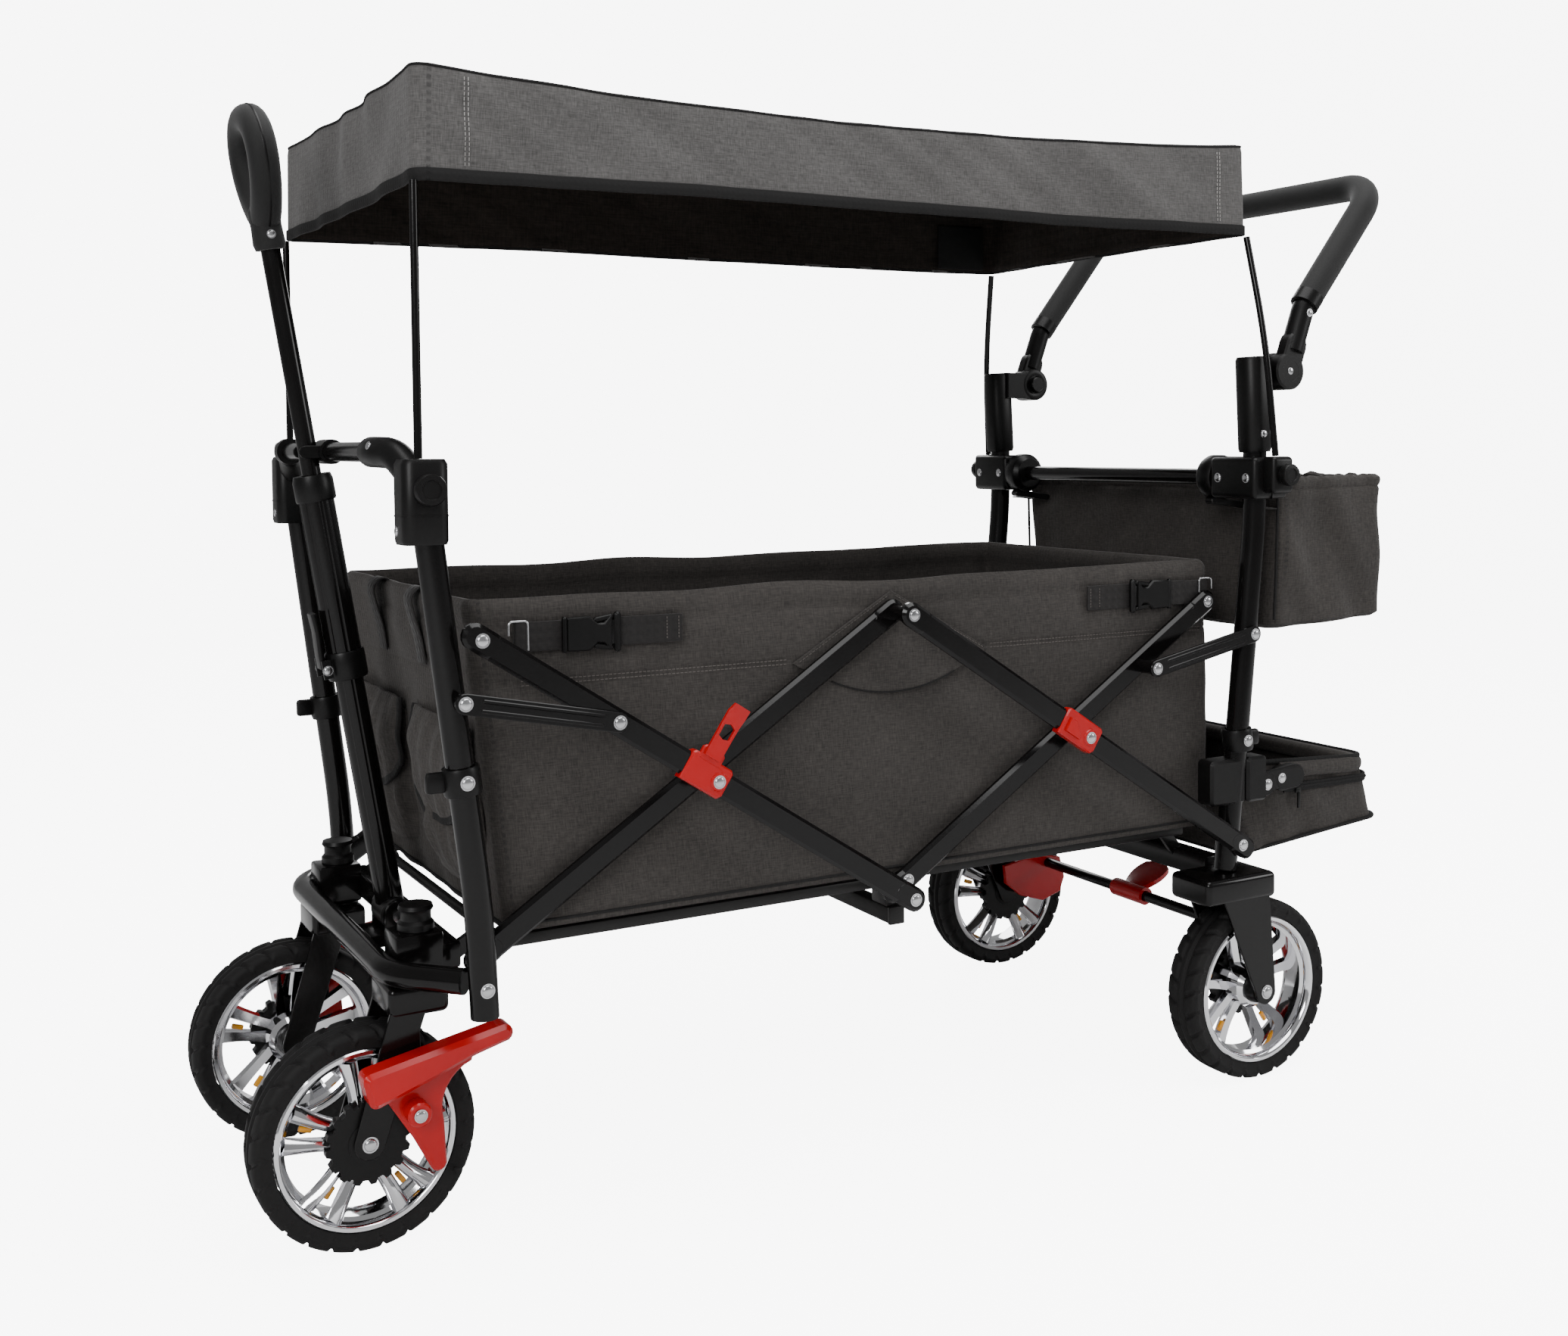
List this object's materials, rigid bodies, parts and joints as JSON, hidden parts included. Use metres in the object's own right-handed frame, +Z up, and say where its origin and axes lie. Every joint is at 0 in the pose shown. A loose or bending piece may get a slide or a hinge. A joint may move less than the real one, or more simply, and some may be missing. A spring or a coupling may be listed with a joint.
{
  "type": "folding pull wagon",
  "caption": "Folding wagon for children: canopy over a fabric tub on crossing side bars, swivel front wheels, push and pull handles, rear bag and basket.",
  "frame": {"origin": "on the ground, under the centre of the bounding box", "axes": "+X rearwards to the push handle, +Y towards the right-hand side when facing the pull handle, +Z up"},
  "size_m": [1.3174, 0.58, 1.035],
  "materials": {
    "black_steel": "gloss black powder coat",
    "black_plastic": "satin moulded plastic",
    "red_plastic": "glossy red",
    "chromed_plastic": "chromed moulding",
    "tyre_rubber": "matt rubber",
    "grey_fabric": "woven heather grey",
    "foam_sleeve": "matt foam"
  },
  "bodies": {
    "front_frame": {"front_post_left": "black_steel", "front_post_right": "black_steel", "front_axle_frame": "black_steel", "front_pole_socket_left": "black_plastic", "front_pole_socket_right": "black_plastic", "front_crossbar": "black_steel", "canopy_pole_front_left": "black_steel", "canopy_pole_front_right": "black_steel", "tub": "grey_fabric", "canopy": "grey_fabric"},
    "bars_b": {"scissor_bar_b_left": "black_steel", "scissor_bar_b_right": "black_steel"},
    "bars_a": {"scissor_bar_a_left": "black_steel", "scissor_bar_a_right": "black_steel", "floor_cross_tube": "black_steel"},
    "bars_c": {"scissor_bar_c_left": "black_steel", "scissor_bar_c_right": "black_steel"},
    "bars_d": {"scissor_bar_d_left": "black_steel", "scissor_bar_d_right": "black_steel"},
    "rear_frame": {"rear_post_left": "black_steel", "rear_post_right": "black_steel", "rear_axle_frame": "black_steel", "rear_crossbar": "black_steel", "upper_bag": "grey_fabric", "canopy_pole_rear_left": "black_steel", "canopy_pole_rear_right": "black_steel"},
    "front_links": {"front_link_left": "black_steel", "front_link_right": "black_steel"},
    "rear_links": {"rear_link_left": "black_steel", "rear_link_right": "black_steel"},
    "floor_front": {"floor_frame_front": "black_steel"},
    "floor_rear": {"floor_frame_rear": "black_steel"},
    "rear_brake_bar": {"rear_brake_bar": "red_plastic"},
    "lower_basket": {"lower_basket": "grey_fabric"},
    "push_handle": {"push_handle": "foam_sleeve"},
    "pull_handle": {"pull_handle_outer_tube": "black_steel"},
    "pull_handle_slide": {"pull_handle_upper": "black_steel"},
    "pull_handle_lever": {"pull_handle_lever": "black_plastic"},
    "caster_left": {"caster_fork_left": "black_steel"},
    "front_wheel_left": {"front_tyre_left": "tyre_rubber", "front_rim_left": "chromed_plastic"},
    "rear_wheel_left": {"rear_tyre_left": "tyre_rubber", "rear_rim_left": "chromed_plastic"},
    "front_brake_pedal_left": {"front_brake_pedal_left": "red_plastic"},
    "caster_lock_left": {"caster_lock_left": "black_plastic"},
    "fold_lock_hook_left": {"fold_lock_hook_left": "red_plastic"},
    "push_handle_button_left": {"push_handle_button_left": "black_plastic"},
    "pole_knob_front_left": {"pole_knob_front_left": "black_plastic"},
    "pole_knob_rear_left": {"pole_knob_rear_left": "black_plastic"},
    "caster_right": {"caster_fork_right": "black_steel"},
    "front_wheel_right": {"front_tyre_right": "tyre_rubber", "front_rim_right": "chromed_plastic"},
    "rear_wheel_right": {"rear_tyre_right": "tyre_rubber", "rear_rim_right": "chromed_plastic"},
    "front_brake_pedal_right": {"front_brake_pedal_right": "red_plastic"},
    "caster_lock_right": {"caster_lock_right": "black_plastic"},
    "fold_lock_hook_right": {"fold_lock_hook_right": "red_plastic"},
    "push_handle_button_right": {"push_handle_button_right": "black_plastic"},
    "pole_knob_front_right": {"pole_knob_front_right": "black_plastic"},
    "pole_knob_rear_right": {"pole_knob_rear_right": "black_plastic"}
  },
  "joints": [
    {"name": "fold", "type": "hinge", "parent": "front_frame", "child": "bars_b", "pos_m": [-0.473, 0, 0.265], "axis": [0, -1, 0], "range_deg": [0, 50], "deforming": ["tub", "canopy"]},
    {"name": "fold_front_cross", "type": "hinge", "parent": "bars_b", "child": "bars_a", "pos_m": [-0.259, 0, 0.40397], "axis": [0, -1, 0], "range_deg": [-100.5, 0.5]},
    {"name": "fold_top", "type": "hinge", "parent": "bars_b", "child": "bars_c", "pos_m": [-0.045, 0, 0.54295], "axis": [0, -1, 0], "range_deg": [-100.5, 0.5]},
    {"name": "fold_rear_cross", "type": "hinge", "parent": "bars_c", "child": "bars_d", "pos_m": [0.169, 0, 0.40397], "axis": [0, -1, 0], "range_deg": [-0.5, 100.5]},
    {"name": "fold_rear_post", "type": "hinge", "parent": "bars_c", "child": "rear_frame", "pos_m": [0.383, 0, 0.265], "axis": [0, -1, 0], "range_deg": [-0.5, 50.5]},
    {"name": "fold_front_links", "type": "hinge", "parent": "front_frame", "child": "front_links", "pos_m": [-0.4958, 0, 0.495], "axis": [0, -1, 0], "range_deg": [-0.5, 86]},
    {"name": "fold_rear_links", "type": "hinge", "parent": "rear_frame", "child": "rear_links", "pos_m": [0.4058, 0, 0.495], "axis": [0, -1, 0], "range_deg": [-86, 0.5]},
    {"name": "fold_floor_front", "type": "hinge", "parent": "front_frame", "child": "floor_front", "pos_m": [-0.445, 0, 0.271], "axis": [0, -1, 0], "range_deg": [-0.5, 86.5]},
    {"name": "fold_floor_rear", "type": "hinge", "parent": "rear_frame", "child": "floor_rear", "pos_m": [0.355, 0, 0.271], "axis": [0, -1, 0], "range_deg": [-86.5, 0.5]},
    {"name": "caster_swivel_left", "type": "hinge", "parent": "front_frame", "child": "caster_left", "pos_m": [-0.506, -0.14, 0.206], "axis": [0, 0, 1], "continuous": true},
    {"name": "front_wheel_spin_left", "type": "hinge", "parent": "caster_left", "child": "front_wheel_left", "pos_m": [-0.5587, -0.14, 0.1], "axis": [0, 1, 0], "continuous": true},
    {"name": "rear_wheel_spin_left", "type": "hinge", "parent": "rear_frame", "child": "rear_wheel_left", "pos_m": [0.4105, -0.236, 0.1], "axis": [0, 1, 0], "continuous": true},
    {"name": "front_brake_left", "type": "hinge", "parent": "caster_left", "child": "front_brake_pedal_left", "pos_m": [-0.5215, -0.14, 0.128], "axis": [0, 1, 0], "range_deg": [0, 10]},
    {"name": "caster_swivel_lock_left", "type": "slide", "parent": "front_frame", "child": "caster_lock_left", "axis": [0, 0, 1], "range_m": [0, 0.008]},
    {"name": "pole_knob_pull_front_left", "type": "slide", "parent": "front_frame", "child": "pole_knob_front_left", "axis": [0, -1, 0], "range_m": [0, 0.004]},
    {"name": "pole_knob_pull_rear_left", "type": "slide", "parent": "rear_frame", "child": "pole_knob_rear_left", "axis": [0, -1, 0], "range_m": [0, 0.004]},
    {"name": "push_handle_release_left", "type": "slide", "parent": "rear_frame", "child": "push_handle_button_left", "axis": [0, -1, 0], "range_m": [0, 0.003]},
    {"name": "fold_lock_left", "type": "hinge", "parent": "bars_a", "child": "fold_lock_hook_left", "pos_m": [-0.26813, -0.2622, 0.4248], "axis": [0.8387, 0, -0.5446], "range_deg": [0, 20]},
    {"name": "caster_swivel_right", "type": "hinge", "parent": "front_frame", "child": "caster_right", "pos_m": [-0.506, 0.14, 0.206], "axis": [0, 0, 1], "continuous": true},
    {"name": "front_wheel_spin_right", "type": "hinge", "parent": "caster_right", "child": "front_wheel_right", "pos_m": [-0.5587, 0.14, 0.1], "axis": [0, 1, 0], "continuous": true},
    {"name": "rear_wheel_spin_right", "type": "hinge", "parent": "rear_frame", "child": "rear_wheel_right", "pos_m": [0.4105, 0.236, 0.1], "axis": [0, 1, 0], "continuous": true},
    {"name": "front_brake_right", "type": "hinge", "parent": "caster_right", "child": "front_brake_pedal_right", "pos_m": [-0.5215, 0.14, 0.128], "axis": [0, 1, 0], "range_deg": [0, 10]},
    {"name": "caster_swivel_lock_right", "type": "slide", "parent": "front_frame", "child": "caster_lock_right", "axis": [0, 0, 1], "range_m": [0, 0.008]},
    {"name": "pole_knob_pull_front_right", "type": "slide", "parent": "front_frame", "child": "pole_knob_front_right", "axis": [0, 1, 0], "range_m": [0, 0.004]},
    {"name": "pole_knob_pull_rear_right", "type": "slide", "parent": "rear_frame", "child": "pole_knob_rear_right", "axis": [0, 1, 0], "range_m": [0, 0.004]},
    {"name": "push_handle_release_right", "type": "slide", "parent": "rear_frame", "child": "push_handle_button_right", "axis": [0, 1, 0], "range_m": [0, 0.003]},
    {"name": "fold_lock_right", "type": "hinge", "parent": "bars_a", "child": "fold_lock_hook_right", "pos_m": [-0.26813, 0.2622, 0.4248], "axis": [-0.8387, 0, 0.5446], "range_deg": [0, 20]},
    {"name": "push_handle_tilt", "type": "hinge", "parent": "rear_frame", "child": "push_handle", "pos_m": [0.4648, 0, 0.7843], "axis": [0, 1, 0], "range_deg": [-34, 80]},
    {"name": "rear_brake", "type": "hinge", "parent": "rear_frame", "child": "rear_brake_bar", "pos_m": [0.463, 0, 0.138], "axis": [0, 1, 0], "range_deg": [0, 15]},
    {"name": "lower_basket_tilt", "type": "hinge", "parent": "rear_frame", "child": "lower_basket", "pos_m": [0.4503, 0, 0.3192], "axis": [0, -1, 0], "range_deg": [0, 40]},
    {"name": "pull_handle_tilt", "type": "hinge", "parent": "front_frame", "child": "pull_handle", "pos_m": [-0.489, 0, 0.2567], "axis": [0, -1, 0], "range_deg": [0, 60]},
    {"name": "pull_handle_slide", "type": "slide", "parent": "pull_handle", "child": "pull_handle_slide", "axis": [-0.1582, 0, 0.9874], "range_m": [-0.165, 0]},
    {"name": "pull_handle_lever_flip", "type": "hinge", "parent": "pull_handle", "child": "pull_handle_lever", "pos_m": [-0.55224, 0, 0.49976], "axis": [0, -1, 0], "range_deg": [0, 80]}
  ],
  "couplings": [
    {"joint": "fold_front_cross", "follows": "fold", "ratio": -2},
    {"joint": "fold_top", "follows": "fold", "ratio": -2},
    {"joint": "fold_rear_cross", "follows": "fold", "ratio": 2},
    {"joint": "fold_rear_post", "follows": "fold", "ratio": 1},
    {"joint": "fold_front_links", "follows": "fold", "ratio": 1.7056},
    {"joint": "fold_rear_links", "follows": "fold", "ratio": -1.7056},
    {"joint": "fold_floor_front", "follows": "fold", "ratio": 1.72},
    {"joint": "fold_floor_rear", "follows": "fold", "ratio": -1.72}
  ]
}
